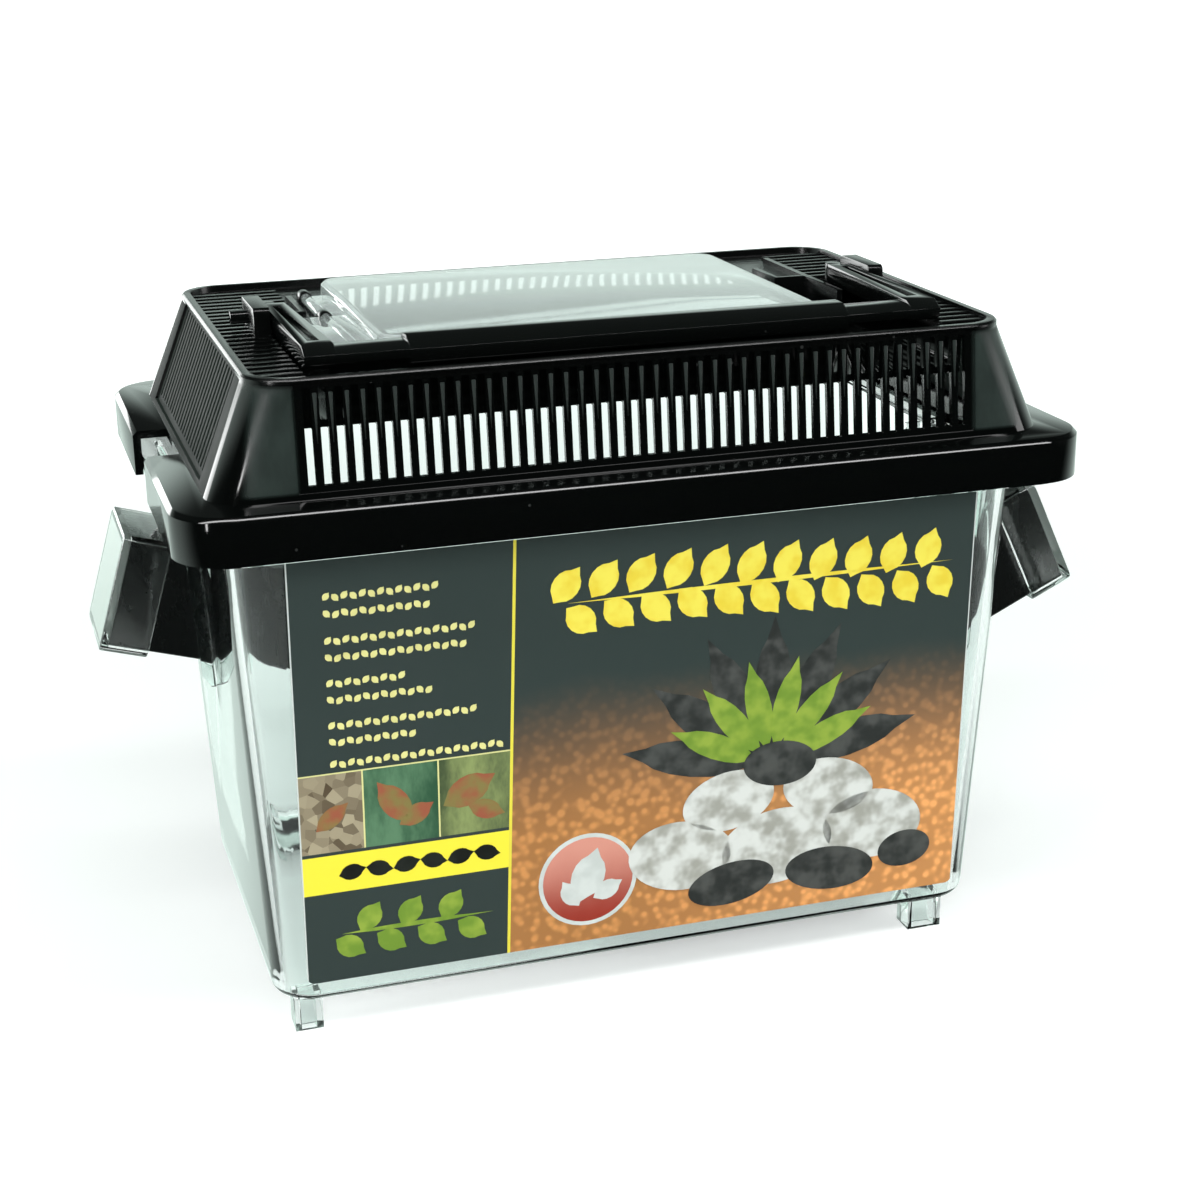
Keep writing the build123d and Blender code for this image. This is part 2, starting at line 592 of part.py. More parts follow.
# ---------------------------------------------------------------- label
# A printed film on the front wall, which leans out by this angle
lean = math.degrees(math.atan2((tank_top_w - tank_base_w) / 2, tank_h))
label_z0, label_z1 = floor_z + label_foot, flange_z - flange_t - 0.4
wall_plane = Plane(
    origin=(0, -side_y(label_z0), label_z0), x_dir=(1, 0, 0),
    z_dir=(0, -math.cos(math.radians(lean)), -math.sin(math.radians(lean))),
)
label_h = (label_z1 - label_z0) / math.cos(math.radians(lean))
with BuildPart() as label:
    with BuildSketch(wall_plane):
        with Locations((0, label_h / 2)):
            Rectangle(2 * label_half, label_h)
    extrude(amount=label_t)
    fillet(label.edges().filter_by(Axis((0, 0, 0), wall_plane.z_dir)).group_by(Axis.Z)[0], label_r)
label.part.label = "label"

# ---------------------------------------------------------------- feeding tray
with BuildPart() as feeding_tray:
    with BuildSketch(Plane.XY.offset(floor_z + tank_wall)):
        with Locations((tray_x, tray_y)):
            RectangleRounded(tray_l, tray_w, tray_r)
    extrude(amount=tray_h)
    with BuildSketch(Plane.XY.offset(floor_z + tank_wall + tray_wall)):
        with Locations((tray_x, tray_y)):
            RectangleRounded(tray_l - 2 * tray_wall, tray_w - 2 * tray_wall, tray_r - tray_wall)
    extrude(amount=tray_h - tray_wall, mode=Mode.SUBTRACT)
feeding_tray.part.label = "feeding_tray"

# ---------------------------------------------------------------- export
export_step(tank.part, "parts/tank.step")
export_step(lid.part, "parts/lid.step")
export_step(hatch.part, "parts/hatch.step")
export_step(handle.part, "parts/handle.step")
export_step(tube_left.part, "parts/tube_left.step")
export_step(tube_right.part, "parts/tube_right.step")
export_step(tube_cap_left.part, "parts/tube_cap_left.step")
export_step(tube_cap_right.part, "parts/tube_cap_right.step")
export_step(label.part, "parts/label.step")
export_step(feeding_tray.part, "parts/feeding_tray.step")
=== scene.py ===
import math

import bmesh
import bpy
from mathutils import Matrix, Vector


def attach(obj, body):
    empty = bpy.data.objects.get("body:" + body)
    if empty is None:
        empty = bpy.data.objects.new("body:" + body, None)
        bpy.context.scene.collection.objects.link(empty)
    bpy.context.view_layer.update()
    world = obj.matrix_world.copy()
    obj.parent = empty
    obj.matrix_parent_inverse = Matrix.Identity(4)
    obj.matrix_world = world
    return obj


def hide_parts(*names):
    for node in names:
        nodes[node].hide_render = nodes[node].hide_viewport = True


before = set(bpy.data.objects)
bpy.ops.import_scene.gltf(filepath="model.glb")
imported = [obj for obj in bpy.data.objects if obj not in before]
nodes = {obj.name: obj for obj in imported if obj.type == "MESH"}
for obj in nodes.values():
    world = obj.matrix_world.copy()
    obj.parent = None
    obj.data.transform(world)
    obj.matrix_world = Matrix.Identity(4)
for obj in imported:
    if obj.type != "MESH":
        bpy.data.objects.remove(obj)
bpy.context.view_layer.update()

# -------------------------------------------------------------------------- camera and studio
# The box stands on a white paper sweep and is seen from its front left corner, a little from
# above. The surroundings are white behind it and dark on the camera's side. Soft boxes stand
# over it, at its left, behind its left shoulder and at its right, and one fills its front.
azimuth, elevation, roll = 0.30386, 0.32857, -0.013017
camera_place = (-0.12602, -0.41801, 0.21777)
picture_width, focal_length = 1200.0, 2139.7  # both in pixels
ahead = Vector((math.sin(azimuth) * math.cos(elevation), math.cos(azimuth) * math.cos(elevation),
                -math.sin(elevation)))
across = Vector((math.cos(azimuth), -math.sin(azimuth), 0.0))
upward = across.cross(ahead)
view_x = math.cos(roll) * across + math.sin(roll) * upward
view_y = -math.sin(roll) * across + math.cos(roll) * upward
lens = bpy.data.cameras.new("camera")
lens.sensor_fit = "HORIZONTAL"
lens.sensor_width = 36.0
lens.lens = focal_length * lens.sensor_width / picture_width
lens.clip_start = 0.01
camera = bpy.data.objects.new("camera", lens)
bpy.context.scene.collection.objects.link(camera)
camera.matrix_world = (Matrix.Translation(camera_place)
                       @ Matrix((view_x, view_y, -ahead)).transposed().to_4x4())
bpy.context.scene.camera = camera
bpy.context.scene.view_settings.view_transform = "Standard"


def fresh_material(name):
    """Material with an empty node tree, and its Principled shader joined to its output."""
    mat = bpy.data.materials.new(name)
    mat.use_nodes = True
    tree = mat.node_tree
    tree.nodes.clear()
    shader = tree.nodes.new("ShaderNodeBsdfPrincipled")
    out = tree.nodes.new("ShaderNodeOutputMaterial")
    tree.links.new(shader.outputs["BSDF"], out.inputs["Surface"])
    return mat, tree, shader


def calc(tree, what, *values):
    """Math node on sockets or numbers; gives its output socket."""
    node = tree.nodes.new("ShaderNodeMath")
    node.operation = what
    for socket, value in zip(node.inputs, values):
        if isinstance(value, (int, float)):
            socket.default_value = value
        else:
            tree.links.new(value, socket)
    return node.outputs[0]


def product(tree, first, *others):
    """Product of two or more sockets or numbers."""
    for other in others:
        first = calc(tree, "MULTIPLY", first, other)
    return first


def ramp(tree, value, start, end, low=0.0, high=1.0):
    """Smooth step of a value from start to end, given as low to high."""
    node = tree.nodes.new("ShaderNodeMapRange")
    node.interpolation_type = "SMOOTHSTEP"
    tree.links.new(value, node.inputs["Value"])
    for name, number in (("From Min", start), ("From Max", end), ("To Min", low), ("To Max", high)):
        node.inputs[name].default_value = number
    return node.outputs["Result"]


def blended(tree, mask, low, high):
    """Colour between two colours, or colour sockets, by a mask."""
    node = tree.nodes.new("ShaderNodeMix")
    node.data_type = "RGBA"
    for socket, value in ((node.inputs[0], mask), (node.inputs[6], low), (node.inputs[7], high)):
        if isinstance(value, tuple):
            socket.default_value = (*value, 1.0)
        else:
            tree.links.new(value, socket)
    return node.outputs[2]


def coords(tree, output="Object"):
    """Object coordinates, in metres, or another output of Texture Coordinate."""
    return tree.nodes.new("ShaderNodeTexCoord").outputs[output]


def xyz(tree, output="Object"):
    """The same coordinates as three sockets."""
    split = tree.nodes.new("ShaderNodeSeparateXYZ")
    tree.links.new(coords(tree, output), split.inputs[0])
    return split.outputs


bpy.ops.object.select_all(action="DESELECT")
bpy.ops.mesh.primitive_plane_add(size=8.0, location=(0, 0, -0.0001))
floor = bpy.context.object
floor.name = "paper_sweep"
paper, tree, shader = fresh_material("white_paper")
fibre = tree.nodes.new("ShaderNodeTexNoise")
fibre.inputs["Scale"].default_value = 700.0
fibre.inputs["Detail"].default_value = 3.0
tree.links.new(coords(tree), fibre.inputs["Vector"])
sheet = blended(tree, fibre.outputs[0], (0.74, 0.745, 0.745), (0.79, 0.795, 0.795))
shader.inputs["Roughness"].default_value = 0.75
shader.inputs["Specular IOR Level"].default_value = 0.15

# The paper on the camera's side is dark in a mirror image that is seen through the plastic.
rays = tree.nodes.new("ShaderNodeLightPath").outputs
mirrored = product(tree, rays["Is Transmission Ray"],
                   calc(tree, "GREATER_THAN", rays["Glossy Depth"], 0.5))
in_front = product(tree, mirrored, ramp(tree, xyz(tree)["Y"], -0.2, -0.38))
tree.links.new(blended(tree, in_front, sheet, (0.01, 0.01, 0.01)), shader.inputs["Base Color"])

# To the eye it glows white away from the box, and less near it, where it keeps the shadow.
away = tree.nodes.new("ShaderNodeVectorMath")
away.operation = "LENGTH"
tree.links.new(coords(tree), away.inputs[0])
seen = calc(tree, "MAXIMUM", rays["Is Camera Ray"], rays["Is Transmission Ray"])
glow = product(tree, ramp(tree, away.outputs["Value"], 0.2, 0.8, 0.36, 1.0),
               calc(tree, "SUBTRACT", 1.0, in_front))
tree.links.new(product(tree, seen, glow), shader.inputs["Emission Strength"])
shader.inputs["Emission Color"].default_value = (0.97, 1.0, 0.99, 1.0)
floor.data.materials.append(paper)
floor.visible_glossy = False

# The world is plain white to the eye and through the plastic. Mirror images show it white at
# the back, and dark in front and overhead. All else gets a weaker light. Both are tinted green.
ambient = 0.34
world = bpy.data.worlds.new("studio")
bpy.context.scene.world = world
world.use_nodes = True
tree = world.node_tree
tree.nodes.clear()
sky = tree.nodes.new("ShaderNodeBackground")
tree.links.new(sky.outputs[0], tree.nodes.new("ShaderNodeOutputWorld").inputs["Surface"])
rays = tree.nodes.new("ShaderNodeLightPath").outputs
way = xyz(tree, "Generated")
back = ramp(tree, way["Y"], -0.3, 0.45, 0.003, 1.0)
ceiling = ramp(tree, way["Z"], 0.1, 0.43, 1.0, 0.05)
mirrored = calc(tree, "GREATER_THAN", rays["Glossy Depth"], 0.5)
seen = calc(tree, "MAXIMUM", rays["Is Camera Ray"], rays["Is Transmission Ray"])
plain = product(tree, seen, calc(tree, "SUBTRACT", 1.0, mirrored))
mirror = calc(tree, "MAXIMUM", rays["Is Glossy Ray"],
              product(tree, rays["Is Transmission Ray"], mirrored))
glossy = product(tree, mirror, back, ceiling)
unseen = calc(tree, "SUBTRACT", 1.0, calc(tree, "MAXIMUM", seen, mirror))
strength = calc(tree, "MAXIMUM", calc(tree, "MAXIMUM", plain, glossy),
                product(tree, unseen, ambient))
tree.links.new(strength, sky.inputs["Strength"])
tree.links.new(blended(tree, plain, (0.84, 1.0, 0.93), (1.0, 1.0, 1.0)), sky.inputs["Color"])


def soft_box(name, place, aim, size, power, reflected=True):
    """Rectangular soft box aimed at a point, not seen by the camera or through the plastic."""
    light = bpy.data.lights.new(name, "AREA")
    light.shape = "RECTANGLE"
    light.size, light.size_y = size
    light.energy = power
    lamp = bpy.data.objects.new(name, light)
    bpy.context.scene.collection.objects.link(lamp)
    lamp.location = place
    lamp.rotation_euler = (Vector(aim) - Vector(place)).to_track_quat("-Z", "Y").to_euler()
    lamp.visible_camera = False
    lamp.visible_transmission = False
    lamp.visible_glossy = reflected


soft_box("top_strip", (-0.05, -0.3, 0.88), aim=(0, -0.05, 0.1), size=(1.5, 0.08), power=4.9)
soft_box("left_strip", (-0.75, -0.6, 0.25), aim=(0, 0, 0.12), size=(0.06, 0.6), power=1.8)
soft_box("back_left_box", (-0.55, 1.0, 0.16), aim=(0, 0, 0.1), size=(0.7, 0.42), power=4.0)
soft_box("right_box", (0.75, -0.35, 0.3), aim=(0, 0, 0.1), size=(0.3, 0.5), power=1.6)
soft_box("front_fill", (-0.3, -1.0, 0.6), aim=(0, 0, 0.06), size=(0.7, 0.5), power=6.5,
         reflected=False)


# --------------------------------------------------------------------------------------- tank
# A tapered tub injection moulded in clear styrene, with its feet, rim flange, tube ports and
# the lid's tongues in one piece. The mould is polished, so the walls are glassy, with slow
# waves from the flow of the plastic, very fine rub marks and a little dust.
marks = bpy.data.node_groups.new("moulded_surface", "ShaderNodeTree")
for name, kind in (("Point", "NodeSocketVector"), ("Flow Size", "NodeSocketFloat"),
                   ("Grain Size", "NodeSocketFloat"), ("Rub Size", "NodeSocketFloat")):
    marks.interface.new_socket(name, in_out="INPUT", socket_type=kind)
for name in ("Flow", "Grain", "Rub", "Dust"):
    marks.interface.new_socket(name, in_out="OUTPUT", socket_type="NodeSocketFloat")
given = marks.nodes.new("NodeGroupInput").outputs
result = marks.nodes.new("NodeGroupOutput").inputs
drawn = marks.nodes.new("ShaderNodeMapping")
drawn.inputs["Scale"].default_value = (1.0, 1.0, 0.4)
marks.links.new(given["Point"], drawn.inputs["Vector"])
for name, size, detail, rough, source in (("Flow", "Flow Size", 2.0, 0.4, drawn.outputs[0]),
                                          ("Grain", "Grain Size", 2.0, 0.5, given["Point"]),
                                          ("Rub", "Rub Size", 5.0, 0.7, drawn.outputs[0])):
    noise = marks.nodes.new("ShaderNodeTexNoise")
    noise.inputs["Detail"].default_value = detail
    noise.inputs["Roughness"].default_value = rough
    marks.links.new(given[size], noise.inputs["Scale"])
    marks.links.new(source, noise.inputs["Vector"])
    marks.links.new(noise.outputs[0], result[name])
flakes = marks.nodes.new("ShaderNodeTexVoronoi")
flakes.inputs["Scale"].default_value = 420.0
marks.links.new(given["Point"], flakes.inputs["Vector"])
chance = marks.nodes.new("ShaderNodeSeparateColor")
marks.links.new(flakes.outputs["Color"], chance.inputs[0])
few = calc(marks, "GREATER_THAN", chance.outputs[0], 0.93)
small = calc(marks, "LESS_THAN", flakes.outputs["Distance"],
             product(marks, chance.outputs[1], 0.16))
marks.links.new(product(marks, few, small), result["Dust"])


def surface(tree, flow=30.0, grain=2500.0, rub=160.0):
    """Outputs of the moulded-surface group on Object coordinates at the sizes given."""
    node = tree.nodes.new("ShaderNodeGroup")
    node.node_tree = marks
    tree.links.new(coords(tree), node.inputs["Point"])
    for name, value in (("Flow Size", flow), ("Grain Size", grain), ("Rub Size", rub)):
        node.inputs[name].default_value = value
    return node.outputs


def moulded(tree, shader, skin, tone, dust_tone, dust, rough, rubbed):
    """Colour with some dust on it, and a roughness that rises with the rub marks."""
    tree.links.new(blended(tree, product(tree, skin["Dust"], dust), tone, dust_tone),
                   shader.inputs["Base Color"])
    tree.links.new(calc(tree, "MULTIPLY_ADD", skin["Rub"], rubbed, rough),
                   shader.inputs["Roughness"])


def embossed(tree, shader, skin, grain, strength, distance):
    """Slow waves and a share of grain, up to a distance in metres, in the shader's normal."""
    node = tree.nodes.new("ShaderNodeBump")
    node.inputs["Strength"].default_value = strength
    node.inputs["Distance"].default_value = distance
    tree.links.new(calc(tree, "MULTIPLY_ADD", skin["Grain"], grain, skin["Flow"]),
                   node.inputs["Height"])
    tree.links.new(node.outputs["Normal"], shader.inputs["Normal"])


def clear_plastic(name, tint, rough, rubbed, wave, clearness=1.0):
    """Clear or frosted plastic with slow waves and rub marks, that lets most light inside."""
    light_let_in = 0.85
    mat, tree, shader = fresh_material(name)
    skin = surface(tree)
    shader.inputs["Transmission Weight"].default_value = clearness
    shader.inputs["IOR"].default_value = 1.5
    moulded(tree, shader, skin, tint, dust_tone=(0.75, 0.78, 0.77), dust=0.5, rough=rough,
            rubbed=rubbed)
    embossed(tree, shader, skin, grain=0.015, strength=wave, distance=0.0006)
    shadow = tree.nodes.new("ShaderNodeLightPath").outputs["Is Shadow Ray"]
    tree.links.new(calc(tree, "MULTIPLY_ADD", shadow, -light_let_in, 1.0), shader.inputs["Alpha"])
    return mat


def dressed(node, name, edge, mat):
    """Copy of a moulding with its faces merged, its edges eased and its curves smooth."""
    corner = math.radians(32.0)
    bpy.ops.object.select_all(action="DESELECT")
    piece = nodes[node].copy()
    piece.data = nodes[node].data.copy()
    piece.name = name
    for key in list(piece.keys()):
        del piece[key]
    piece.parent = None
    bpy.context.scene.collection.objects.link(piece)
    bpy.context.view_layer.objects.active = piece
    piece.select_set(True)
    bpy.ops.object.mode_set(mode="EDIT")
    bpy.ops.mesh.select_all(action="SELECT")
    bpy.ops.mesh.remove_doubles(threshold=0.000004)
    bpy.ops.mesh.dissolve_limited(angle_limit=math.radians(0.6))
    bpy.ops.object.mode_set(mode="OBJECT")
    eased = piece.modifiers.new("eased", "BEVEL")
    eased.width = edge
    eased.segments = 2
    eased.limit_method = "ANGLE"
    eased.angle_limit = corner
    bpy.ops.object.modifier_apply(modifier="eased")
    bpy.ops.object.shade_smooth_by_angle(angle=corner)
    piece.data.materials.clear()
    piece.data.materials.append(mat)
    return piece


def stands_for(piece, body, node):
    """Puts a piece on its body, in place of its CAD node."""
    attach(piece, body)
    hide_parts(node)


styrene = clear_plastic("clear_styrene", (0.905, 0.965, 0.945), rough=0.012, rubbed=0.045,
                        wave=0.03)
stands_for(dressed("tank", "clear_tank", 0.00025, styrene), "tank", "tank")

# -------------------------------------------------------------------------------------- label
# A printed card glued to the front wall: a slate field with a thin yellow line and a warm,
# pebbled lower right, a yellow band, three small pictures, and leaves and stones in flat inks.
card_tilt = math.atan(0.046296)  # the wall leans out by 2.65 degrees
card_foot = (0, -0.04295, 0.0062)
card_side = 0.06955
line_place, line_lean, line_half = -0.0291, 0.028, 0.0003
band_foot, band_head = 0.0303, 0.0385
pictures_foot, pictures_rim, pictures_head = 0.0392, 0.0557, 0.056
picture_borders, border_half = (-0.0572, -0.0423), 0.00016
border_straw, board_back, board_edge = (0.72, 0.70, 0.30), (0.70, 0.72, 0.70), (0.62, 0.66, 0.64)


def between(tree, value, low, high):
    """Mask that is 1 where a value lies between two numbers."""
    return product(tree, calc(tree, "GREATER_THAN", value, low),
                   calc(tree, "LESS_THAN", value, high))


def varnished(tree, shader, skin):
    """Thin, slightly rubbed varnish over the print."""
    tree.links.new(calc(tree, "MULTIPLY_ADD", skin["Rub"], 0.12, 0.3), shader.inputs["Roughness"])
    shader.inputs["Coat Weight"].default_value = 0.25
    shader.inputs["Coat Roughness"].default_value = 0.12


printed_card, tree, shader = fresh_material("printed_card")
skin = surface(tree, flow=40.0, grain=3000.0, rub=90.0)
place = xyz(tree)
x, z = place["X"], place["Z"]
right = calc(tree, "SUBTRACT", x, calc(tree, "MULTIPLY_ADD", z, line_lean, line_place))
left = calc(tree, "LESS_THAN", right, -line_half)

# The field, the line on it and the band at its left.
cells = tree.nodes.new("ShaderNodeTexVoronoi")
cells.feature = "SMOOTH_F1"
cells.inputs["Scale"].default_value = 560.0
tree.links.new(coords(tree), cells.inputs["Vector"])
pebbled = ramp(tree, cells.outputs["Distance"], 0.15, 0.55, 1.1, 0.68)
warm_ink = blended(tree, ramp(tree, x, -0.02, 0.07), (0.60, 0.265, 0.08), (0.86, 0.385, 0.125))
stipple = tree.nodes.new("ShaderNodeVectorMath")
stipple.operation = "SCALE"
tree.links.new(warm_ink, stipple.inputs[0])
tree.links.new(pebbled, stipple.inputs["Scale"])
ragged_z = calc(tree, "MULTIPLY_ADD", skin["Flow"], 0.012, z)
warm = product(tree, calc(tree, "GREATER_THAN", right, 0.0), ramp(tree, ragged_z, 0.076, 0.036))
slate = blended(tree, product(tree, skin["Rub"], 0.35), (0.035, 0.052, 0.049),
                (0.045, 0.062, 0.059))
field = blended(tree, warm, slate, stipple.outputs[0])
field = blended(tree, between(tree, right, -line_half, line_half), field, (0.80, 0.70, 0.06))
band = product(tree, left, between(tree, z, band_foot, band_head))
field = blended(tree, band, field, (0.92, 0.80, 0.045))

# The three pictures of gravel, dark green and moss, with straw borders.
sand = tree.nodes.new("ShaderNodeTexVoronoi")
sand.inputs["Scale"].default_value = 480.0
tree.links.new(coords(tree), sand.inputs["Vector"])
grit = tree.nodes.new("ShaderNodeSeparateColor")
tree.links.new(sand.outputs["Color"], grit.inputs[0])
gravel = blended(tree, grit.outputs[0], (0.10, 0.07, 0.04), (0.42, 0.36, 0.24))
deep_green = blended(tree, ramp(tree, skin["Rub"], 0.35, 0.65), (0.03, 0.10, 0.05),
                     (0.11, 0.24, 0.13))
moss = blended(tree, ramp(tree, skin["Rub"], 0.3, 0.7), (0.06, 0.09, 0.04), (0.30, 0.37, 0.13))
shown = blended(tree, calc(tree, "GREATER_THAN", x, picture_borders[0]), gravel, deep_green)
shown = blended(tree, calc(tree, "GREATER_THAN", x, picture_borders[1]), shown, moss)
for border in picture_borders:
    rim = between(tree, x, border - border_half, border + border_half)
    shown = blended(tree, rim, shown, border_straw)
shown = blended(tree, calc(tree, "GREATER_THAN", z, pictures_rim), shown, border_straw)
pictures = product(tree, left, between(tree, z, pictures_foot, pictures_head))
field = blended(tree, pictures, field, shown)

# The cut edges and the back of the card.
cut = calc(tree, "GREATER_THAN", calc(tree, "ABSOLUTE", x), card_side)
field = blended(tree, cut, field, board_edge)
behind = calc(tree, "GREATER_THAN", xyz(tree, "Normal")["Y"], 0.5)
field = blended(tree, behind, field, board_back)
tree.links.new(field, shader.inputs["Base Color"])
varnished(tree, shader, skin)
embossed(tree, shader, skin, grain=0.2, strength=0.03, distance=0.0004)
nodes["label"].data.materials[0] = printed_card


def ink(name, colour, shade):
    """Flat printing ink, a little uneven, drying darker towards its shade."""
    mat, tree, shader = fresh_material(name)
    skin = surface(tree, flow=260.0, grain=240.0, rub=420.0)
    tree.links.new(blended(tree, ramp(tree, skin["Grain"], 0.35, 0.7), colour, shade),
                   shader.inputs["Base Color"])
    varnished(tree, shader, skin)
    return mat


def upright_circle(points, radius):
    """Flat filled circle that faces the front, all selected in edit mode."""
    bpy.ops.object.select_all(action="DESELECT")
    bpy.ops.mesh.primitive_circle_add(vertices=points, radius=radius, fill_type="NGON",
                                      rotation=(math.pi / 2, 0, 0))
    bpy.ops.object.transform_apply(location=False, rotation=True, scale=False)
    bpy.ops.object.mode_set(mode="EDIT")
    bpy.ops.mesh.select_all(action="SELECT")
    return bpy.context.object


def pick(piece, test):
    """Selects, in edit mode, the vertices of a piece that pass a test on their place."""
    bpy.ops.mesh.select_mode(type="VERT")
    bpy.ops.mesh.select_all(action="DESELECT")
    shape = bmesh.from_edit_mesh(piece.data)
    for vert in shape.verts:
        vert.select = test(vert.co)
    shape.select_flush_mode()
    bmesh.update_edit_mesh(piece.data)


def crowned(rim, rise):
    """Gives the flat shape in edit mode its thickness and a raised middle, and leaves it."""
    bpy.ops.mesh.extrude_region_move(TRANSFORM_OT_translate={"value": (0, -0.00003, 0)})
    bpy.ops.mesh.inset(thickness=rim, depth=rise)
    bpy.ops.object.mode_set(mode="OBJECT")


def printed(name, blank, spots, mat, lift=0.00002):
    """Copies a flat blank to spots (x, z, turn, width, length) of the card as one thin print.

    x and z are in millimetres, from the card's middle and from the floor, the turn is in
    degrees, and width and length are multiples of the blank's. The lift is in metres.
    """
    copies = []
    for across_mm, up_mm, turn, wide, tall in spots:
        copy = blank.copy()
        copy.data = blank.data.copy()
        bpy.context.scene.collection.objects.link(copy)
        on_card = (across_mm / 1000, -lift, up_mm / 1000 - card_foot[2])
        copy.matrix_world = (Matrix.Translation(card_foot) @ Matrix.Rotation(card_tilt, 4, "X")
                             @ Matrix.Translation(on_card)
                             @ Matrix.Rotation(math.radians(turn), 4, "Y")
                             @ Matrix.Diagonal((wide, 1.0, tall, 1.0)))
        copies.append(copy)
    bpy.ops.object.select_all(action="DESELECT")
    for copy in copies:
        copy.select_set(True)
    bpy.context.view_layer.objects.active = copies[0]
    bpy.ops.object.transform_apply(location=True, rotation=True, scale=True)
    if len(copies) > 1:
        bpy.ops.object.join()
    piece = bpy.context.object
    piece.name = name
    piece.data.materials.clear()
    piece.data.materials.append(mat)
    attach(piece, "tank")


# The leaf that all the leaves are copied from is 10 mm long, with a pointed tip and a narrow
# foot.
leaf = upright_circle(16, 0.005)
bpy.ops.transform.resize(value=(0.42, 1.0, 0.78), center_override=(0, 0, 0))
for low, high, shift in ((0.0038, 1.0, 0.0013), (-1.0, -0.0038, -0.0008)):
    pick(leaf, lambda v: low < v.z < high)
    bpy.ops.transform.translate(value=(0, 0, shift))
bpy.ops.mesh.select_all(action="SELECT")
crowned(rim=0.0007, rise=0.00003)

# A branch of paired yellow leaves, rows of small leaves, and a row of dark ones on the band.
pairs, branch_left, pair_pitch, branch_height = 11, -18.0, 7.6, 85.2
branch = []
for i in range(pairs):
    along = branch_left + pair_pitch * i
    rise = branch_height + 0.9 * math.sin(i * 0.55)
    shrink = 0.02 * abs(i - pairs // 2)
    branch.append((along + 1.6, rise + 3.6, 38 - 2 * i, 1.35, 0.98 - shrink))
    branch.append((along + 4.6, rise - 3.6, 132 + 2 * i, 1.35, 0.94 - shrink))
branch.append((22.5, branch_height, 90, 0.22, 8.2))
printed("yellow_branch", leaf, branch, ink("yellow_ink", (0.93, 0.80, 0.09), (0.86, 0.66, 0.04)))
row_left, leaf_pitch = -62.6, 1.72
rows = ((92.0, 13), (88.6, 12), (83.2, 17), (79.8, 16), (74.6, 9), (71.2, 12), (65.9, 17),
        (62.5, 10), (57.9, 20))
small_leaves = []
for row, (height, count) in enumerate(rows):
    for i in range(count):
        small_leaves.append((row_left + leaf_pitch * i, height - 0.3 * (i % 2),
                             40 + 100 * ((i + row) % 2), 0.3, 0.19))
printed("small_sprigs", leaf, small_leaves,
        ink("straw_ink", (0.80, 0.76, 0.30), (0.72, 0.68, 0.26)))
printed("dark_leaves", leaf,
        [(-60.0 + 5.4 * i, 34.4, 78 + 24 * (i % 2), 0.8, 0.56) for i in range(6)],
        ink("black_ink", (0.012, 0.014, 0.012), (0.02, 0.024, 0.02)))

# A green sprig below the band, and rust leaves in the three pictures.
green_ink = ink("green_ink", (0.17, 0.30, 0.03), (0.30, 0.42, 0.05))
sprig = [(-61.0 + 4.1 * i, 21.0 + (2.9 if i % 2 else -2.9), 125 - 90 * (i % 2), 1.15, 0.72)
         for i in range(7)]
printed("green_sprig", leaf, sprig + [(-48.0, 21.0, 90, 0.24, 3.1)], green_ink)
printed("picture_leaves", leaf, [(-63.5, 46.6, 50, 0.9, 0.85), (-51.0, 48.0, -35, 1.3, 1.15),
                                 (-47.0, 45.0, 60, 1.0, 0.8), (-36.5, 48.5, 62, 1.5, 1.2),
                                 (-33.0, 44.0, 110, 1.0, 0.8)],
        ink("rust_ink", (0.35, 0.10, 0.05), (0.24, 0.20, 0.06)))

# A round red badge with a pale ring and pale leaves. The disc is 20 mm wide.
disc = upright_circle(40, 0.01)
crowned(rim=0.0006, rise=0.00002)
pale_ink = ink("pale_ink", (0.66, 0.70, 0.68), (0.56, 0.60, 0.58))
red_ink, tree, shader = fresh_material("red_ink")
skin = surface(tree, flow=260.0, grain=240.0, rub=420.0)
height = calc(tree, "MULTIPLY_ADD", skin["Grain"], 0.002, xyz(tree)["Z"])
tree.links.new(blended(tree, ramp(tree, height, 0.0165, 0.035), (0.34, 0.035, 0.02),
                       (0.70, 0.30, 0.23)), shader.inputs["Base Color"])
varnished(tree, shader, skin)
badge_x, badge_z = -12.0, 24.8
printed("badge_ring", disc, [(badge_x, badge_z, 0, 1.04, 1.04)], pale_ink)
printed("badge_disc", disc, [(badge_x, badge_z, 0, 0.95, 0.95)], red_ink, lift=0.00006)
printed("badge_leaf", leaf, [(badge_x, 25.6, 18, 1.7, 1.25), (-15.6, 22.0, -30, 1.0, 0.7),
                             (-8.0, 22.0, 62, 1.0, 0.7)], pale_ink, lift=0.00012)


def fan(reach, turns, wide, tall):
    """Spots of leaves that spread from the top of the stones."""
    fan_x, fan_z = 27.0, 45.0
    return [(fan_x + reach * math.sin(math.radians(turn)),
             fan_z + reach * math.cos(math.radians(turn)), turn, wide, tall) for turn in turns]


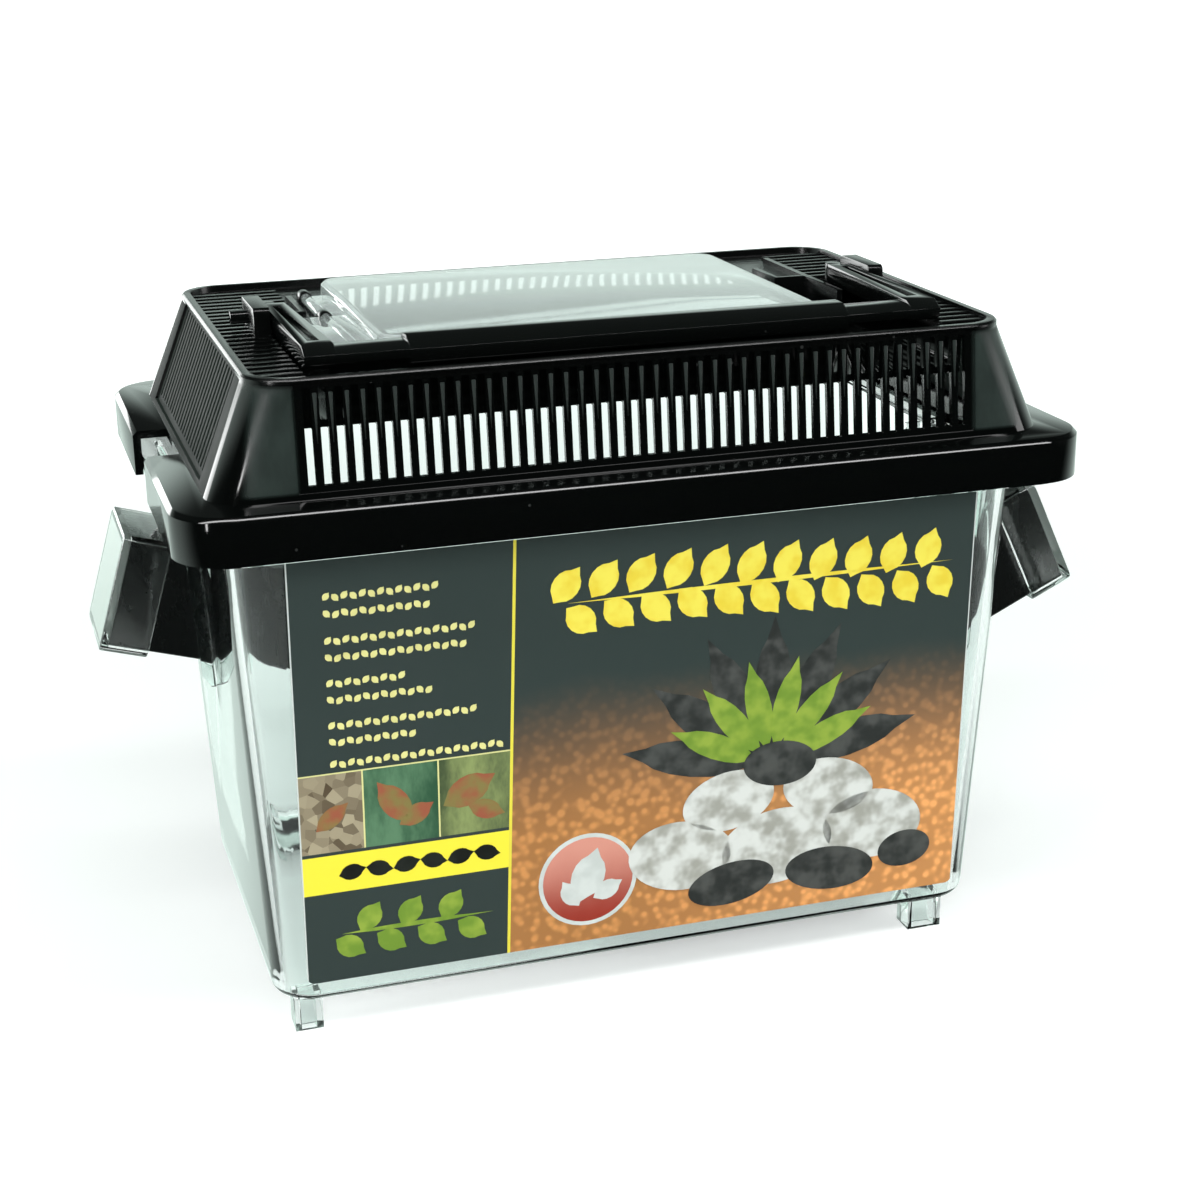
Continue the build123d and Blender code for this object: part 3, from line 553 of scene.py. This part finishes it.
# Leaves that spread over a heap of pale and dark stones.
pebble_ink = ink("pebble_ink", (0.70, 0.72, 0.69), (0.36, 0.36, 0.32))
slate_ink = ink("slate_ink", (0.03, 0.034, 0.032), (0.08, 0.085, 0.08))
printed("dark_fan", leaf, fan(17.0, (-78, -52, -26, 0, 26, 52, 78), 1.9, 3.0), slate_ink)
printed("green_fan", leaf, fan(13.0, (-65, -39, -13, 13, 39, 65), 1.3, 2.1), green_ink,
        lift=0.00008)
printed("pale_stones", disc, [(8, 27, 8, 1.15, 0.78), (29, 26, -6, 1.3, 0.86),
                              (50, 28, 5, 1.15, 0.8), (18, 38, -10, 1.0, 0.66),
                              (40, 38, 12, 1.02, 0.66)], pebble_ink, lift=0.00014)
printed("dark_stones", disc, [(19, 19, -8, 0.95, 0.48), (41, 19, 6, 1.0, 0.5),
                              (29, 45, 4, 0.8, 0.5), (58, 21, -4, 0.6, 0.42)],
        slate_ink, lift=0.0002)
for blank in (leaf, disc):
    bpy.data.objects.remove(blank)

# ------------------------------------------------------------------------------- feeding tray
# A low tray that lies loose on the tank's floor. It is moulded in black plastic, as the lid
# is, and has a satin surface.
def black_plastic(name, tone, rough, rubbed, wave):
    """Black plastic from a polished or softly textured mould, with a little dust."""
    mat, tree, shader = fresh_material(name)
    skin = surface(tree, flow=45.0, grain=1900.0, rub=260.0)
    shader.inputs["IOR"].default_value = 1.5
    moulded(tree, shader, skin, tone, dust_tone=(0.16, 0.17, 0.165), dust=0.12, rough=rough,
            rubbed=rubbed)
    embossed(tree, shader, skin, grain=0.06, strength=wave, distance=0.0003)
    return mat, tree, shader, skin


tray_black = black_plastic("tray_black", (0.012, 0.0125, 0.012), rough=0.3, rubbed=0.12,
                           wave=0.05)[0]
nodes["feeding_tray"].data.materials[0] = tray_black

# ----------------------------------------------------------------------------- tubes and caps
# Square black tubes with thin walls, pushed through the ports from outside. A clear cap that
# is moulded in styrene, with a frosted pane in its end, fits over the outer end of each.
for side, outward in (("left", -1), ("right", 1)):
    tube_black = black_plastic("tube_black_" + side, (0.004, 0.005, 0.0047), rough=0.22,
                               rubbed=0.1, wave=0.02)[0]
    stands_for(dressed("tube_" + side, "dispensing_tube_" + side, 0.0003, tube_black),
               "tube_" + side, "tube_" + side)
    cap_clear = clear_plastic("cap_clear_" + side, (0.92, 0.965, 0.945), rough=0.02, rubbed=0.05,
                              wave=0.04)
    cap_frosted = clear_plastic("cap_frosted_" + side, (0.62, 0.73, 0.67), rough=0.3, rubbed=0.1,
                                wave=0.06, clearness=0.12)
    cap = dressed("tube_cap_" + side, "end_cap_" + side, 0.00035, cap_clear)
    cap.data.materials.append(cap_frosted)
    bpy.ops.object.mode_set(mode="EDIT")
    bpy.ops.mesh.select_mode(type="FACE")
    bpy.ops.mesh.select_all(action="DESELECT")
    shape = bmesh.from_edit_mesh(cap.data)
    # Of the faces that look outwards, the end pane is large and lies farthest out.
    end = max((face for face in shape.faces if face.normal.x * outward > 0.8),
              key=lambda face: face.calc_area() * (1 + 20 * outward * face.calc_center_median().x))
    end.select = True
    bmesh.update_edit_mesh(cap.data)
    bpy.ops.mesh.inset(thickness=0.0013)
    cap.active_material_index = 1
    bpy.ops.object.material_slot_assign()
    bpy.ops.object.mode_set(mode="OBJECT")
    stands_for(cap, "cap_" + side, "tube_cap_" + side)

# ---------------------------------------------------------------------------------------- lid
# One black moulding that drops over the tank's tongues: skirt, ledge, sloping tower with its
# slots, rim and ridged deck. The skirt and the tower's corners are polished, the deck and the
# posts beside the slots are satin, and the slotted fields in the tower's ends are dull.
lid_black, tree, shader, skin = black_plastic("lid_black", (0.0016, 0.002, 0.0019), rough=0.05,
                                              rubbed=0.06, wave=0.03)
place = xyz(tree)
span = calc(tree, "ABSOLUTE", place["X"])
deck = ramp(tree, place["Z"], 0.1305, 0.1318)
wall = product(tree, ramp(tree, place["Z"], 0.1125, 0.1135),
               ramp(tree, place["Z"], 0.1325, 0.1315))
# On the front, each post runs from the last slot to a line that leans inwards as it rises.
outer_line = calc(tree, "MULTIPLY_ADD", place["Z"], 0.16, span)
beside = product(tree, ramp(tree, span, 0.0662, 0.0675), ramp(tree, outer_line, 0.0957, 0.0935))
post = product(tree, beside, wall, ramp(tree, place["Y"], -0.03, -0.035))
# The end faces are satin up to the tower's corners.
end_line = calc(tree, "MULTIPLY_ADD", place["Z"], 0.4, span)
end_post = product(tree, wall, ramp(tree, end_line, 0.1262, 0.1268),
                   ramp(tree, calc(tree, "ABSOLUTE", place["Y"]), 0.0435, 0.0415))
satin = calc(tree, "MAXIMUM", product(tree, deck, 0.5), end_post)
polished = shader.inputs["Roughness"].links[0].from_socket
post_rough = calc(tree, "MULTIPLY_ADD", post, 0.3, polished)
tree.links.new(calc(tree, "MULTIPLY_ADD", satin, 0.32, post_rough), shader.inputs["Roughness"])
tone = shader.inputs["Base Color"].links[0].from_socket
# The posts beside the slots get a lighter black, a painted sheen that is patchy with the rub marks.
post_painted_sheen = product(tree, post, ramp(tree, skin["Rub"], 0.2, 0.8, 0.55, 1.0))
tree.links.new(blended(tree, post_painted_sheen, tone, (0.023, 0.034, 0.03)), shader.inputs["Base Color"])
lid = dressed("lid", "slotted_lid", 0.00022, lid_black)

field_black, _, shader, _ = black_plastic("field_black", (0.017, 0.023, 0.02), rough=0.38,
                                          rubbed=0.12, wave=0.05)
shader.inputs["Specular IOR Level"].default_value = 0.007
field_x, field_half_y, field_foot, field_head = 0.07, 0.0345, 0.1127, 0.1318
lid.data.materials.append(field_black)
for face in lid.data.polygons:
    middle = face.center
    if (abs(middle.x) > field_x and abs(middle.y) < field_half_y
            and field_foot < middle.z < field_head):
        face.material_index = 1
stands_for(lid, "lid", "lid")

# A thin tapering rib runs down the upper half of each bar between the long sides' slots.
bars, bar_pitch = 44, 0.00292
rib_foot, rib_head = 0.1215, 0.1306
bpy.context.view_layer.update()
foot, head = (lid.ray_cast((bar_pitch / 2, -0.08, level), (0, 1, 0))[1]
              for level in (rib_foot, rib_head))
bpy.ops.object.select_all(action="DESELECT")
bpy.ops.mesh.primitive_cube_add(size=1.0, location=(foot + head) / 2,
                                rotation=(-math.atan2(head.y - foot.y, head.z - foot.z), 0, 0),
                                scale=(0.0008, 0.0007, (head - foot).length))
rib = bpy.context.object
bpy.ops.object.transform_apply(location=True, rotation=True, scale=True)
bpy.ops.object.mode_set(mode="EDIT")
pick(rib, lambda v: v.z < (rib_foot + rib_head) / 2)
bpy.ops.transform.resize(value=(0.2, 0.6, 1.0), center_override=foot)
bpy.ops.mesh.select_all(action="SELECT")
bpy.ops.mesh.bevel(offset=0.00015, segments=2, affect="EDGES")
bpy.ops.object.mode_set(mode="OBJECT")
ribs = []
for turn in (0.0, math.pi):
    for i in range(bars):
        copy = rib.copy()
        copy.data = rib.data.copy()
        bpy.context.scene.collection.objects.link(copy)
        shift = (i - (bars - 1) / 2) * bar_pitch - 0.5 * (foot.x + head.x)
        copy.matrix_world = Matrix.Rotation(turn, 4, "Z") @ Matrix.Translation((shift, 0, 0))
        ribs.append(copy)
bpy.data.objects.remove(rib)
bpy.ops.object.select_all(action="DESELECT")
for copy in ribs:
    copy.select_set(True)
bpy.context.view_layer.objects.active = ribs[0]
bpy.ops.object.transform_apply(location=True, rotation=True, scale=True)
bpy.ops.object.join()
slot_bar_ribs = bpy.context.object
slot_bar_ribs.name = "slot_bar_ribs"
bpy.ops.object.shade_smooth_by_angle(angle=math.radians(35))
# The ribs' black is lighter than the lid's, a painted sheen that makes them show as grey streaks.
rib_painted_sheen = black_plastic("rib_painted_sheen", (0.02, 0.026, 0.024), rough=0.3, rubbed=0.1, wave=0.03)[0]
slot_bar_ribs.data.materials.clear()
slot_bar_ribs.data.materials.append(rib_painted_sheen)
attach(slot_bar_ribs, "lid")

# -------------------------------------------------------------------------------------- hatch
# A shallow domed cover of clear styrene over the lid's opening. Its pins are moulded on and
# snapped into the deck's lugs, and a small press tab tips it open.
hatch_clear = clear_plastic("hatch_clear", (0.88, 0.95, 0.93), rough=0.02, rubbed=0.06, wave=0.04,
                            clearness=0.8)
stands_for(dressed("hatch", "clear_hatch", 0.0003, hatch_clear), "hatch", "hatch")

# ------------------------------------------------------------------------------------- handle
# A folding handle in the same black, with channelled arms, a thicker grip on its bar and pins
# that run through the two ears of the deck.
handle_black = black_plastic("handle_black", (0.0024, 0.003, 0.0028), rough=0.08, rubbed=0.06,
                             wave=0.04)[0]
stands_for(dressed("handle", "folding_handle", 0.00035, handle_black), "handle", "handle")
